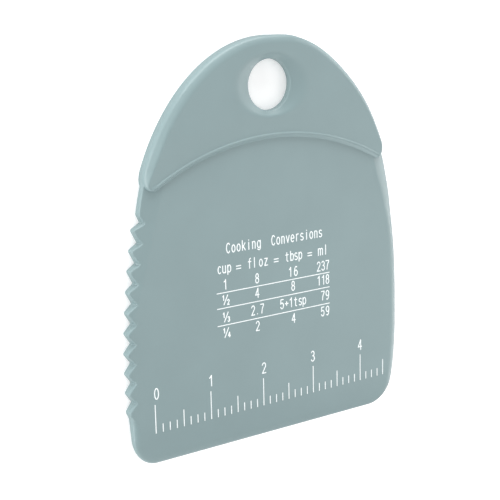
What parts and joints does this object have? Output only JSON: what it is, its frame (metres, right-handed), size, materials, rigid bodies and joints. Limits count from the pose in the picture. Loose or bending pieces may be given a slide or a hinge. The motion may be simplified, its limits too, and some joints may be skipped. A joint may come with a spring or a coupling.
{
  "type": "dough scraper",
  "caption": "Flat moulded plastic dough scraper with a thickened crown and hang hole, a row of V notches down one side, a thin straight scraping edge and a printed inch rule.",
  "frame": {"origin": "middle of the footprint, on the plane that the crown's back face rests on; the scraper lies on its back", "axes": "+X to the right across the printed face, +Y up the tool from the scraping edge towards the hang hole, +Z through the thickness, out of the printed face"},
  "size_m": [0.1331, 0.162, 0.0064],
  "materials": {
    "body": "satin moulded plastic, grey-blue"
  },
  "bodies": {
    "root": {"scraper": "body"}
  },
  "joints": []
}
